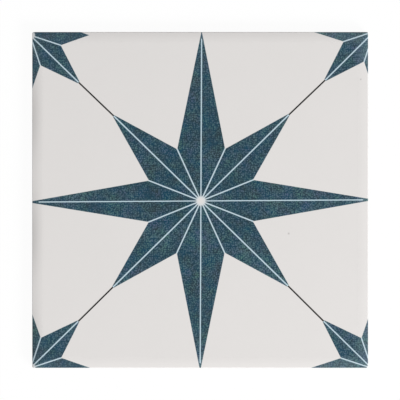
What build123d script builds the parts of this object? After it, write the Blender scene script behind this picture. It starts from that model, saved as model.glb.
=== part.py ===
from build123d import *
import os
from math import atan2, cos, sin

# Square glazed tile, pressed and fired as one piece. Millimetres, +Z up.
# The origin is the middle of the back, on the crests of its ribs, and the glazed face looks up.

# Driving dimensions
SIDE = 200.0            # edge to edge, along X and along Y
THICKNESS = 9.0         # rib crests to the flat of the glazed face
CORNER_RADIUS = 0.9     # the four corners, seen from above
CUSHION_WIDTH = 6.0     # band along each edge where the face rolls down
CUSHION_DROP = 0.6      # how far the face has sunk where the roll meets the side
RIM_RADIUS = 0.6        # rounding between the roll and the side
BACK_CHAMFER = 1.2      # bevel between the side and the back
KEY_PITCH = 32.0        # spacing of the keys that grip the adhesive
KEY_DEPTH = 0.8         # depth of the keys
RIB_WIDTH = 2.6         # crest of the ribs between the keys
KEY_CORNER_RADIUS = 2.4  # corners of each key at the crest
KEY_DRAFT = 45.0        # slope of a key's flanks from the vertical, in degrees
BACK_MARGIN = 3.0       # least crest left between the outer keys and the bevel

ROLL_SECTIONS = 5       # outlines that the roll is lofted through


def outline(inset, height):
    """Outline of the tile at one height, with corners that open out as it draws in."""
    side = SIDE - 2 * inset
    return Pos(0, 0, height) * RectangleRounded(side, side, CORNER_RADIUS + inset)


def level_edges(solid, height):
    """Edges of a solid that lie level at one height."""
    return solid.edges().filter_by_position(Axis.Z, height, height)


def rolled_face():
    """Upper part of the tile: an arc, tangent to the flat face, that falls to the side."""
    roll_radius = (CUSHION_WIDTH**2 + CUSHION_DROP**2) / (2 * CUSHION_DROP)
    roll_angle = atan2(CUSHION_WIDTH, roll_radius - CUSHION_DROP)
    outlines = []
    for step in range(ROLL_SECTIONS):
        angle = roll_angle * (1 - step / (ROLL_SECTIONS - 1))
        inset = CUSHION_WIDTH - roll_radius * sin(angle)
        sunk = roll_radius * (1 - cos(angle))
        outlines.append(outline(inset, THICKNESS - sunk))
    return loft(outlines)


def slab():
    """Straight-sided tile body with its rolled face, rounded rim and bevelled back."""
    shoulder = THICKNESS - CUSHION_DROP
    bevel = loft([outline(BACK_CHAMFER, 0), outline(0, BACK_CHAMFER)], ruled=True)
    sides = extrude(outline(0, BACK_CHAMFER), amount=shoulder - BACK_CHAMFER)
    body = bevel + sides + rolled_face()
    return fillet(level_edges(body, shoulder), RIM_RADIUS)


def back_keys():
    """Shallow drafted pockets in the back, in rows that leave ribs between them."""
    half_rows = int((SIDE / 2 - BACK_CHAMFER - BACK_MARGIN + RIB_WIDTH / 2) / KEY_PITCH)
    rows = 2 * half_rows
    mouth = KEY_PITCH - RIB_WIDTH
    key = extrude(RectangleRounded(mouth, mouth, KEY_CORNER_RADIUS), amount=KEY_DEPTH, taper=KEY_DRAFT)
    return [place * key for place in GridLocations(KEY_PITCH, KEY_PITCH, rows, rows)]


tile = slab() - back_keys()

os.makedirs("parts", exist_ok=True)
export_step(tile, "parts/tile.step")
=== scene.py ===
import math

import bpy
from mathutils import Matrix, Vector

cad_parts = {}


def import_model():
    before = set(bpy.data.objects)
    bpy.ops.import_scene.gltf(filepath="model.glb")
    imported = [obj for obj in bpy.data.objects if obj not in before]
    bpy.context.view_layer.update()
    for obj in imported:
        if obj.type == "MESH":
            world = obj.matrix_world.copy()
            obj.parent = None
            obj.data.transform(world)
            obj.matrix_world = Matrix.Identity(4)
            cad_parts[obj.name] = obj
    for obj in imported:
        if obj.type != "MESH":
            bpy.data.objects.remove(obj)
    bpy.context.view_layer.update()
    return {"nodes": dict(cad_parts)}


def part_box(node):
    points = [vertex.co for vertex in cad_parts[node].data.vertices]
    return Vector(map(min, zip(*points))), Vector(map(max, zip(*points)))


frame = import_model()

# A square glazed tile that lies face up: the solid keeps its shape and gets its finish here.
# The object is in metres. The print, the glaze and the body are worked out in millimetres.

MM = 0.001
tile = frame["nodes"]["tile"]
low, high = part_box("tile")
SIDE = (high[0] - low[0]) / MM
FACE_HEIGHT = high[2] / MM

# The photograph: 400 pixels square, with the tile's middle and mean side in pixels
PHOTO_PIXELS = 400
TILE_MIDDLE_PIXEL = (200.15, 199.95)
TILE_SIDE_PIXELS = 336.0

# The large star, from its middle: reach of its arms and the notches between them
STAR_MIDDLE = (0.45, -0.59)
STAR_REACH_X = 103.65
STAR_NOTCH_X = (30.98, 12.31)
STAR_DIAGONAL = (53.66, 52.44)
STAR_NOTCH_Y = (14.24, 30.86)
STAR_REACH_Y = 101.35
STAR_RISE = 0.0066       # slope of its left-to-right axis
STAR_LEAN = 0.0044       # slope of its upright axis
STAR_RIDGE_END = 96.7    # the light ridges of the upright and level arms stop here

# The quarter stars in the corners, from the middle of each towards the tile's middle
CORNER_NOTCH_X = (18.2, 6.0)
CORNER_NOTCH_Y = (6.0, 17.9)
CORNER_STARS = {
    # right and top: middle of the star from the tile's middle, reach along X, diagonal tip, reach along Y
    (-1, 1): ((101.2, 98.1), 35.2, (30.4, 29.6), 35.4),
    (1, 1): ((103.6, 100.3), 37.0, (30.65, 30.45), 36.6),
    (-1, -1): ((100.9, 100.0), 35.5, (29.9, 29.25), 34.65),
    (1, -1): ((102.0, 100.1), 36.4, (30.05, 29.45), 35.1),
}
TIP_CUT = 2.2            # the diagonal arms are cut off this far before the point that their edges run to
LINK_GAP = 0.2           # the dark lines stop this far from the cut tips of the large star

# Widths of the light lines left free in the stars, and of the dark lines that join them
RIDGE_X_WIDTH = 0.62
RIDGE_Y_WIDTH = 0.68
RIDGE_DIAGONAL_WIDTH = 0.76
GAP_X_WIDTH = 0.74
GAP_Y_WIDTH = 0.76
CORNER_LINE_SHARE = 0.95  # the light lines of the corner stars are this much as wide
LINK_WIDTH = 0.92

# Edges of the print
HUB_RADIUS = 2.8         # pale disc where a star's lines meet
HUB_SHARPNESS = 0.3      # of its edge, where other printed edges have 1
TINT_SHARPNESS = 0.06    # of the edge of the tint around it
PRINT_SOFTNESS = 0.25    # how far a printed edge fades
WANDER_LUMPS = 0.8       # the edges wander in lumps of this size
STAR_WANDER = 0.18       # how far the edges of the stars wander
LINK_WANDER = 0.09       # and those of the dark lines
PRINT_DEPTH = 1.0        # the print ends on the rim, this far below the face
PRINT_END_FADE = 0.1     # and fades this far above and below that

# Tone of the blue print: it gets paler from the middle outwards and at the tile's edges, and it is paler to
# the right and downwards as painted light from the lamp on that side
OUTWARD_START = 20.0     # distances from the tile's middle
OUTWARD_END = 90.0
OUTWARD_THINNESS = 0.09  # how much thinner the ink is out there
OUTWARD_MISSING = 0.009  # and how much of it is missing
THINNESS = 0.125         # of the ink in the middle
PAINTED_LIGHT_PER_MM_RIGHT = 0.0008  # painted light: thinner, paler ink added for each millimetre to the right
PAINTED_LIGHT_PER_MM_UP = -0.0002    # and for each millimetre up, so the painted light makes it paler downwards
EDGE_START = 9.0         # distances from the tile's edges
EDGE_END = 3.0
EDGE_MISSING = 0.045     # ink that is missing there
EDGE_PAINTED_LIGHT_PER_MM_RIGHT = 0.0002  # painted light: paler ink at the edges, added for each millimetre to the right

# Grain of the blue print: sizes, and how much each changes the thinness of the ink
HUE_LUMPS = 8.0          # patches of one hue
HUE_CONTRAST = 3.0
SPECK_SPACING = 0.62
SPECK_CONTRAST = 0.66
DOT_SPACING = 1.15
DOT_CONTRAST = 1.65
CLOUD_LUMPS = 22.0
CLOUD_CONTRAST = 0.78

# Plain glaze: faint clouds of two sizes, and pinholes with their places and radii
BROAD_CLOUD_LUMPS = 30.0
BROAD_CLOUD_TONE = 0.02
SMALL_CLOUD_LUMPS = 4.0
SMALL_CLOUD_TONE = 0.012
PINHOLES = (((52.7, -20.0), 1.0), ((95.6, 71.8), 0.8))
PINHOLE_SHADE = 0.3      # how much darker the glaze is in their middles

# Uneven roll of the glaze: its width, and the slope that each edge adds to the even roll of the solid
ROLL_WIDTH = 7.5
ROLL_LEFT = 0.20
ROLL_RIGHT = -0.08
ROLL_TOP = 0.05
ROLL_BOTTOM = -0.02
LEFT_WAVE = 70.0         # the left roll swells and thins along the edge, over this length
LEFT_WAVE_PLACE = 16.6   # it is flattest here, along Y
LEFT_WAVE_SHARE = 0.55   # and there it is flatter by this share

# The glaze ends in an uneven line on the sides, at about this height
GLAZE_END = 5.2
GLAZE_END_LUMPS = 7.0
GLAZE_END_SWING = 3.0
GLAZE_END_FADE = 0.25

# Fired body: sand, kiln wash, and a paler colour on the crests of the ribs that is painted light, leaving
# painted shade in the pockets between them
SAND_LUMPS = 0.7
SAND_TONE = 0.35
WASH_LUMPS = 22.0
WASH_CONTRAST = 2.0
WASH_SHARE = 0.2
CREST_LOW = 0.1          # heights over the crests between which the wash and the painted light on the crests get less
CREST_HIGH = 0.5
CREST_LIGHT_SHARE = 0.9

# Heights and sizes of the fine relief
WAVE_LUMPS = 18.0
WAVE_HEIGHT = 0.05
PEEL_LUMPS = 2.2
PEEL_HEIGHT = 0.006
GRIT_LUMPS = 2.0
GRIT_HEIGHT = 0.04
SAND_HEIGHT = 0.06

# How the glaze and the bare body shine
GLAZE_ROUGHNESS = 0.36
GLAZE_ROUGHNESS_LUMPS = 5.0
GLAZE_ROUGHNESS_SWING = 0.12
INK_ROUGHNESS = 0.05     # added where the glaze is inked
BODY_ROUGHNESS = 0.88
SHINE = 0.2


def linear(red, green, blue):
    """Colour as screens show it, 0 to 255, as linear light."""
    channels = []
    for value in (red, green, blue):
        value = value / 255
        channels.append(value / 12.92 if value <= 0.04045 else ((value + 0.055) / 1.055) ** 2.4)
    return (*channels, 1.0)


GLAZE = linear(224, 221, 219)
GLAZE_TINT = linear(189, 210, 220)   # glaze between the facets of a star
INK_TEAL = linear(30, 50, 58)        # thick ink drifts between teal and navy
INK_NAVY = linear(0, 57, 78)
INK_GREEN = linear(85, 124, 118)     # thin ink drifts between green and violet
INK_VIOLET = linear(90, 105, 132)
LINK_INK = linear(24, 24, 22)
BODY = linear(186, 172, 152)
# Pale colour of the kiln wash, also used for the painted light on the crests of the ribs
KILN_WASH_AND_CREST_LIGHT = linear(222, 217, 208)


class Signal:
    """A number that varies over a surface: sums and products of it become Math nodes."""

    def __init__(self, tree, socket):
        self.tree = tree
        self.socket = socket

    def math(self, operation, *others):
        node = self.tree.nodes.new("ShaderNodeMath")
        node.operation = operation
        for place, value in enumerate((self, *others)):
            if isinstance(value, Signal):
                self.tree.links.new(value.socket, node.inputs[place])
            else:
                node.inputs[place].default_value = value
        return Signal(self.tree, node.outputs[0])

    def __add__(self, other):
        return self.math("ADD", other)

    def __sub__(self, other):
        return self.math("SUBTRACT", other)

    def __rsub__(self, other):
        return self.times_plus(-1.0, other)

    def __mul__(self, other):
        return self.math("MULTIPLY", other)

    def __neg__(self):
        return self.math("MULTIPLY", -1.0)

    def least(self, *others):
        result = self
        for other in others:
            result = result.math("MINIMUM", other)
        return result

    def most(self, *others):
        result = self
        for other in others:
            result = result.math("MAXIMUM", other)
        return result

    def share(self):
        """The number, kept from 0 to 1."""
        return self.least(1.0).most(0.0)

    def size(self):
        return self.math("ABSOLUTE")

    def times_plus(self, factor, addend):
        return self.math("MULTIPLY_ADD", factor, addend)

    def ramp(self, start, end):
        """0 up to start and 1 from end on, smooth between. start may be the larger."""
        node = self.tree.nodes.new("ShaderNodeMapRange")
        node.interpolation_type = "SMOOTHSTEP"
        self.tree.links.new(self.socket, node.inputs["Value"])
        rising = start < end
        node.inputs["From Min"].default_value = start if rising else end
        node.inputs["From Max"].default_value = end if rising else start
        node.inputs["To Min"].default_value = 0.0 if rising else 1.0
        node.inputs["To Max"].default_value = 1.0 if rising else 0.0
        return Signal(self.tree, node.outputs["Result"])


def length(x, y):
    """Length of the way along X and Y."""
    return (x * x + y * y).math("SQRT")


class Surface:
    """Node tree of one material, with the point on the tile in millimetres."""

    def __init__(self, name):
        self.material = bpy.data.materials.new(name)
        self.material.use_nodes = True
        self.tree = self.material.node_tree
        self.shader = self.tree.nodes["Principled BSDF"]
        self.place = self.tree.nodes.new("ShaderNodeTexCoord").outputs["Object"]
        parts = self.tree.nodes.new("ShaderNodeSeparateXYZ")
        self.tree.links.new(self.place, parts.inputs[0])
        self.x, self.y, self.z = (Signal(self.tree, parts.outputs[axis]) * (1 / MM) for axis in range(3))

    def noise(self, lumps, amount=1.0, detail=2.0, roughness=0.5, offset=0.0):
        """Noise about 0, with lumps of about this many millimetres. The offset sets it apart from others."""
        place = self.tree.nodes.new("ShaderNodeVectorMath")
        place.operation = "ADD"
        place.inputs[1].default_value = (offset, offset, offset)
        self.tree.links.new(self.place, place.inputs[0])
        node = self.tree.nodes.new("ShaderNodeTexNoise")
        node.inputs["Scale"].default_value = 1 / (lumps * MM)
        node.inputs["Detail"].default_value = detail
        node.inputs["Roughness"].default_value = roughness
        self.tree.links.new(place.outputs[0], node.inputs["Vector"])
        return (Signal(self.tree, node.outputs["Fac"]) - 0.5) * amount

    def cell_node(self, spacing, randomness):
        """Cells seen from above, this many millimetres apart."""
        node = self.tree.nodes.new("ShaderNodeTexVoronoi")
        node.voronoi_dimensions = "2D"
        node.inputs["Scale"].default_value = 1 / (spacing * MM)
        node.inputs["Randomness"].default_value = randomness
        self.tree.links.new(self.place, node.inputs["Vector"])
        return node

    def specks(self, spacing, amount):
        """Random steps about 0, one for each speck."""
        node = self.cell_node(spacing, randomness=1.0)
        parts = self.tree.nodes.new("ShaderNodeSeparateColor")
        self.tree.links.new(node.outputs["Color"], parts.inputs[0])
        return (Signal(self.tree, parts.outputs[0]) - 0.5) * amount

    def dots(self, spacing, amount):
        """Soft dots about 0, highest in their middles."""
        node = self.cell_node(spacing, randomness=0.7)
        mean_distance = 0.4
        return (mean_distance - Signal(self.tree, node.outputs["Distance"])) * amount

    def mix(self, share, first, second):
        """Colour between two colours, each a tuple or a socket."""
        node = self.tree.nodes.new("ShaderNodeMix")
        node.data_type = "RGBA"
        self.tree.links.new(share.socket, node.inputs["Factor"])
        # The node has a set of sockets for each kind of value: these are the ones for colours
        first_socket, second_socket, result_socket = node.inputs[6], node.inputs[7], node.outputs[2]
        for socket, colour in ((first_socket, first), (second_socket, second)):
            if isinstance(colour, tuple):
                socket.default_value = colour
            else:
                self.tree.links.new(colour, socket)
        return result_socket

    def brighten(self, colour, factor):
        """Colour, a tuple or a socket, times a signal."""
        node = self.tree.nodes.new("ShaderNodeVectorMath")
        node.operation = "SCALE"
        if isinstance(colour, tuple):
            node.inputs[0].default_value = colour[:3]
        else:
            self.tree.links.new(colour, node.inputs[0])
        self.tree.links.new(factor.socket, node.inputs["Scale"])
        return node.outputs[0]

    def bump(self, height):
        """Relief from a height in millimetres."""
        node = self.tree.nodes.new("ShaderNodeBump")
        node.inputs["Distance"].default_value = MM
        node.inputs["Strength"].default_value = 1.0
        self.tree.links.new(height.socket, node.inputs["Height"])
        self.tree.links.new(node.outputs[0], self.shader.inputs["Normal"])


def side_of(x, y, start, end):
    """Distance from a straight line, positive to the right of the way from start to end."""
    along = math.hypot(end[0] - start[0], end[1] - start[1])
    across_x = (end[1] - start[1]) / along
    across_y = -(end[0] - start[0]) / along
    return x.times_plus(across_x, y.times_plus(across_y, -(start[0] * across_x + start[1] * across_y)))


class Star:
    """One quarter of a star, with its middle at 0, 0 and its arms along +X, +Y and the diagonal between."""

    def __init__(self, x, y, reach_x, notch_x, diagonal, notch_y, reach_y, line_share):
        middle = (0.0, 0.0)
        x_gap = GAP_X_WIDTH / 2 * line_share
        y_gap = GAP_Y_WIDTH / 2 * line_share
        ridge_half = RIDGE_DIAGONAL_WIDTH / 2 * line_share
        over_x_gap = side_of(x, y, notch_x, middle)
        over_y_gap = side_of(x, y, notch_y, middle)
        diagonal_reach = math.hypot(*diagonal)
        along = x.times_plus(diagonal[0] / diagonal_reach, y * (diagonal[1] / diagonal_reach))
        diagonal_tip = side_of(x, y, notch_x, diagonal).most(
            side_of(x, y, diagonal, notch_y),
            along - (diagonal_reach - TIP_CUT),
        )
        level_tip = side_of(x, y.size(), (reach_x, 0.0), notch_x)
        upright_tip = side_of(x.size(), y, notch_y, (0.0, reach_y))
        ridge = side_of(x, y, middle, diagonal).size()
        self.hub = length(x, y) - HUB_RADIUS
        # Distances, negative inside: the whole figure, and the facets that are inked
        self.figure = level_tip.most(over_x_gap).least(
            diagonal_tip.most(-over_x_gap, over_y_gap),
            upright_tip.most(-over_y_gap),
        )
        round_hub = self.hub * -HUB_SHARPNESS
        self.level_arm = level_tip.most(over_x_gap + x_gap, round_hub)
        self.upright_arm = upright_tip.most(y_gap - over_y_gap, round_hub)
        self.diagonal_arm = diagonal_tip.most(
            x_gap - over_x_gap,
            over_y_gap + y_gap,
            ridge_half - ridge,
            round_hub,
        )

    def ink(self):
        """Distance from the inked facets."""
        return self.level_arm.least(self.diagonal_arm, self.upright_arm)

    def tint(self):
        """Distance from the glaze that the ink has tinted: between the facets, but not where lines meet."""
        return self.figure.most(self.hub * -TINT_SHARPNESS)


def large_star(x, y):
    """The star in the middle, whose level and upright arms have light ridges too."""
    across = x - STAR_MIDDLE[0]
    up = y - STAR_MIDDLE[1]
    star_x = (across - up * STAR_LEAN).size()
    star_y = (up - across * STAR_RISE).size()
    star = Star(
        star_x, star_y, STAR_REACH_X, STAR_NOTCH_X, STAR_DIAGONAL, STAR_NOTCH_Y, STAR_REACH_Y,
        line_share=1.0,
    )
    level_ridge = (STAR_RIDGE_END - star_x).least(RIDGE_X_WIDTH / 2) - star_y
    upright_ridge = (STAR_RIDGE_END - star_y).least(RIDGE_Y_WIDTH / 2) - star_x
    star.level_arm = star.level_arm.most(level_ridge)
    star.upright_arm = star.upright_arm.most(upright_ridge)
    return star


def corner_star(x, y, right, top):
    """The quarter star in one corner."""
    middle, reach_x, diagonal, reach_y = CORNER_STARS[right, top]
    return Star(
        x * -right + middle[0], y * -top + middle[1],
        reach_x, CORNER_NOTCH_X, diagonal, CORNER_NOTCH_Y, reach_y, CORNER_LINE_SHARE,
    )


def shortened(diagonal, cut):
    """Point on a diagonal arm that lies this far before its tip."""
    return Vector(diagonal) * (1 - cut / math.hypot(*diagonal))


def link(x, y, right, top):
    """Distance from the dark line that joins one corner star to the large star, from tip to tip."""
    middle, _, diagonal, _ = CORNER_STARS[right, top]
    near = shortened(diagonal, TIP_CUT)
    start_x = right * (middle[0] - near.x)
    start_y = top * (middle[1] - near.y)
    far = shortened(STAR_DIAGONAL, TIP_CUT - LINK_GAP)
    run_x = STAR_MIDDLE[0] + right * far.x + top * far.y * STAR_LEAN - start_x
    run_y = STAR_MIDDLE[1] + top * far.y + right * far.x * STAR_RISE - start_y
    square = run_x**2 + run_y**2
    from_x = x - start_x
    from_y = y - start_y
    along = from_x.times_plus(run_x / square, from_y * (run_y / square)).share()
    return length(along.times_plus(-run_x, from_x), along.times_plus(-run_y, from_y)) - LINK_WIDTH / 2


def inked(distance):
    """Share of ink at a distance from a printed edge."""
    return distance.ramp(PRINT_SOFTNESS / 2, -PRINT_SOFTNESS / 2)


def outward(surface):
    """0 in the tile's middle and 1 far from it."""
    return length(surface.x, surface.y).ramp(OUTWARD_START, OUTWARD_END)


def print_shares(surface):
    """Shares of the star ink, the tint around it and the ink of the dark lines."""
    x, y = surface.x, surface.y
    star = large_star(x, y)
    star_edge = star.ink()
    tint_edge = star.tint()
    link_edges = []
    for right, top in CORNER_STARS:
        corner = corner_star(x, y, right, top)
        star_edge = star_edge.least(corner.ink())
        tint_edge = tint_edge.least(corner.tint())
        link_edges.append(link(x, y, right, top))
    link_edge = link_edges[0].least(*link_edges[1:])

    # Some of the ink is missing far from the middle, and more of it at the edges, where the print also gets
    # paler to the right as painted light
    at_edge = (SIDE / 2 - x.size().most(y.size())).ramp(EDGE_START, EDGE_END)
    missing_ink_and_painted_light = at_edge * (x * EDGE_PAINTED_LIGHT_PER_MM_RIGHT + EDGE_MISSING) + outward(surface) * OUTWARD_MISSING
    wander = surface.noise(WANDER_LUMPS)
    covered = (surface.z - (FACE_HEIGHT - PRINT_DEPTH)).ramp(-PRINT_END_FADE, PRINT_END_FADE)
    star_ink = inked(star_edge + wander * STAR_WANDER) * (1.0 - missing_ink_and_painted_light) * covered
    link_ink = inked(link_edge + wander * LINK_WANDER) * covered
    return star_ink, inked(tint_edge) * covered, link_ink


def hue_patches(surface, offset):
    """Soft patches from 0 to 1."""
    patches = surface.noise(HUE_LUMPS, HUE_CONTRAST, detail=3.0, roughness=0.7, offset=offset)
    return (patches + 0.5).share()


def star_blue(surface):
    """Blue of the print: thick ink with specks and dots of thin ink, both of a drifting hue."""
    thick = surface.mix(hue_patches(surface, offset=7.0), INK_TEAL, INK_NAVY)
    thin = surface.mix(hue_patches(surface, offset=43.0), INK_GREEN, INK_VIOLET)
    grain = surface.specks(SPECK_SPACING, SPECK_CONTRAST) + surface.dots(DOT_SPACING, DOT_CONTRAST)
    cloud = surface.noise(CLOUD_LUMPS, CLOUD_CONTRAST, offset=3.0)
    # Painted light: the ink gets paler to the right and downwards, towards the lamp
    painted_light_slant = surface.x * PAINTED_LIGHT_PER_MM_RIGHT + surface.y * PAINTED_LIGHT_PER_MM_UP
    thinness = grain + cloud + painted_light_slant + outward(surface) * OUTWARD_THINNESS + THINNESS
    return surface.mix(thinness.share(), thick, thin)


def plain_glaze(surface):
    """Nearly even off-white with a faint cloud and its pinholes."""
    broad = surface.noise(BROAD_CLOUD_LUMPS, BROAD_CLOUD_TONE, offset=11.0)
    small = surface.noise(SMALL_CLOUD_LUMPS, SMALL_CLOUD_TONE, offset=13.0)
    tone = broad + small + 1.0
    for place, radius in PINHOLES:
        from_hole = length(surface.x - place[0], surface.y - place[1])
        tone = tone - from_hole.ramp(radius, 0.0) * PINHOLE_SHADE
    return surface.brighten(GLAZE, tone)


def uneven_roll(surface):
    """Height of the glaze over the even roll of the solid, where it thins or pools at an edge."""
    turn = 2 * math.pi / LEFT_WAVE
    wave = 1.0 - surface.y.times_plus(turn, -turn * LEFT_WAVE_PLACE).math("COSINE") * LEFT_WAVE_SHARE
    falls = []
    for from_middle, slope in (
        (-surface.x, wave * ROLL_LEFT),
        (surface.x, ROLL_RIGHT),
        (surface.y, ROLL_TOP),
        (-surface.y, ROLL_BOTTOM),
    ):
        within = (from_middle - (SIDE / 2 - ROLL_WIDTH)).most(0.0)
        falls.append(within * within * slope * (-0.5 / ROLL_WIDTH))
    left, right, top, bottom = falls
    return left + right + top + bottom


def glazed_tile():
    """Off-white satin glaze with its print, over a fired body that shows on the back and low on the sides."""
    surface = Surface("glazed_tile")

    # Glazed face: dark lines, then the tint of the stars, then their ink
    star_ink, tinted, link_ink = print_shares(surface)
    face = surface.mix(link_ink, plain_glaze(surface), LINK_INK)
    face = surface.mix(tinted, face, GLAZE_TINT)
    face = surface.mix(star_ink, face, star_blue(surface))

    # Fired body: warm grey and sandy, with a pale dusting of kiln wash, and paler crests as painted light, so
    # the pockets between the ribs are painted shade
    sand = surface.noise(SAND_LUMPS, detail=4.0, roughness=0.8, offset=17.0)
    wash = surface.noise(WASH_LUMPS, WASH_CONTRAST, detail=4.0, roughness=0.6, offset=19.0) + WASH_SHARE
    crest_light = surface.z.ramp(CREST_HIGH, CREST_LOW) * CREST_LIGHT_SHARE
    body = surface.mix((wash + crest_light).share(), BODY, KILN_WASH_AND_CREST_LIGHT)
    body = surface.brighten(body, sand * SAND_TONE + 1.0)

    glaze_end = surface.noise(GLAZE_END_LUMPS, GLAZE_END_SWING, detail=3.0, offset=23.0) + GLAZE_END
    glazed = (surface.z - glaze_end).ramp(-GLAZE_END_FADE, GLAZE_END_FADE)
    bare = 1.0 - glazed
    surface.tree.links.new(surface.mix(glazed, body, face), surface.shader.inputs["Base Color"])

    # Satin glaze, a little duller on ink, and a dry body
    gloss = surface.noise(GLAZE_ROUGHNESS_LUMPS, GLAZE_ROUGHNESS_SWING, offset=29.0)
    gloss = gloss + star_ink * INK_ROUGHNESS + GLAZE_ROUGHNESS
    rough = gloss * glazed + bare * BODY_ROUGHNESS
    surface.tree.links.new(rough.socket, surface.shader.inputs["Roughness"])
    surface.shader.inputs["Specular IOR Level"].default_value = SHINE

    # Relief: slow waves, fine peel and an uneven roll at the edges in the glaze, grit on the body
    waves = surface.noise(WAVE_LUMPS, WAVE_HEIGHT, offset=31.0)
    peel = surface.noise(PEEL_LUMPS, PEEL_HEIGHT, offset=37.0)
    grit = sand * SAND_HEIGHT + surface.noise(GRIT_LUMPS, GRIT_HEIGHT, offset=41.0)
    surface.bump((waves + peel + uneven_roll(surface)) * glazed + grit * bare)
    return surface.material


tile.data.materials.clear()
tile.data.materials.append(glazed_tile())


def white_where_seen(tree, shown, lit):
    """Mixes two shaders: the first for rays that look at it, the second for the light it gives."""
    path = tree.nodes.new("ShaderNodeLightPath")
    camera_ray, glossy_ray, transmission_ray = (
        Signal(tree, path.outputs[name]) for name in ("Is Camera Ray", "Is Glossy Ray", "Is Transmission Ray")
    )
    mix = tree.nodes.new("ShaderNodeMixShader")
    tree.links.new(camera_ray.most(glossy_ray, transmission_ray).socket, mix.inputs["Fac"])
    tree.links.new(lit, mix.inputs[1])
    tree.links.new(shown, mix.inputs[2])
    return mix.outputs[0]


def diffuse(tree, grey):
    """Matt shader of one grey."""
    node = tree.nodes.new("ShaderNodeBsdfDiffuse")
    node.inputs["Color"].default_value = (grey, grey, grey, 1.0)
    return node.outputs[0]


def floor():
    """Level white floor, whose own white is thinned enough to keep the tile's shadow."""
    half = 3.0
    gap = 0.05 * MM
    own_white = 0.95
    lit_grey = 0.85
    mesh = bpy.data.meshes.new("floor")
    corners = [(-half, -half, 0), (half, -half, 0), (half, half, 0), (-half, half, 0)]
    mesh.from_pydata(corners, [], [(0, 1, 2, 3)])
    plane = bpy.data.objects.new("floor", mesh)
    plane.location.z = low[2] - gap
    bpy.context.collection.objects.link(plane)
    material = bpy.data.materials.new("floor")
    material.use_nodes = True
    tree = material.node_tree
    tree.nodes.remove(tree.nodes["Principled BSDF"])
    glow = tree.nodes.new("ShaderNodeEmission")
    glow.inputs["Strength"].default_value = 1.0
    thinned = tree.nodes.new("ShaderNodeMixShader")
    thinned.inputs["Fac"].default_value = own_white
    tree.links.new(diffuse(tree, 1.0), thinned.inputs[1])
    tree.links.new(glow.outputs[0], thinned.inputs[2])
    seen = white_where_seen(tree, thinned.outputs[0], diffuse(tree, lit_grey))
    tree.links.new(seen, tree.nodes["Material Output"].inputs["Surface"])
    mesh.materials.append(material)


def world(fill):
    """White surroundings that give this much even light."""
    scene_world = bpy.data.worlds.new("studio")
    scene_world.use_nodes = True
    tree = scene_world.node_tree
    lit = tree.nodes["Background"]
    shown = tree.nodes.new("ShaderNodeBackground")
    for background, strength in ((lit, fill), (shown, 1.0)):
        background.inputs["Color"].default_value = (1.0, 1.0, 1.0, 1.0)
        background.inputs["Strength"].default_value = strength
    seen = white_where_seen(tree, shown.outputs[0], lit.outputs[0])
    tree.links.new(seen, tree.nodes["World Output"].inputs["Surface"])
    bpy.context.scene.world = scene_world


def soft_lamp(name, place, size, watts):
    """Square soft box that faces the tile."""
    lamp = bpy.data.lights.new(name, "AREA")
    lamp.shape = "SQUARE"
    lamp.size = size
    lamp.energy = watts
    box = bpy.data.objects.new(name, lamp)
    box.location = place
    box.rotation_euler = (-Vector(place)).to_track_quat("-Z", "Y").to_euler()
    bpy.context.collection.objects.link(box)


def camera():
    """Long lens straight above the tile, framed as the photograph is."""
    distance = 2.0
    frame_width = SIDE * MM * PHOTO_PIXELS / TILE_SIDE_PIXELS
    pixel = frame_width / PHOTO_PIXELS
    lens = bpy.data.cameras.new("camera")
    lens.sensor_width = 36.0
    lens.lens = lens.sensor_width * distance / frame_width
    lens.clip_start = 0.05
    view = bpy.data.objects.new("camera", lens)
    off_x = (PHOTO_PIXELS / 2 - TILE_MIDDLE_PIXEL[0]) * pixel
    off_y = (TILE_MIDDLE_PIXEL[1] - PHOTO_PIXELS / 2) * pixel
    view.location = (off_x, off_y, FACE_HEIGHT * MM + distance)
    bpy.context.collection.objects.link(view)
    bpy.context.scene.camera = view


floor()
world(fill=0.44)
soft_lamp("key", place=(1.85, -1.75, 2.0), size=1.2, watts=97.0)
camera()
bpy.context.scene.view_settings.view_transform = "Standard"
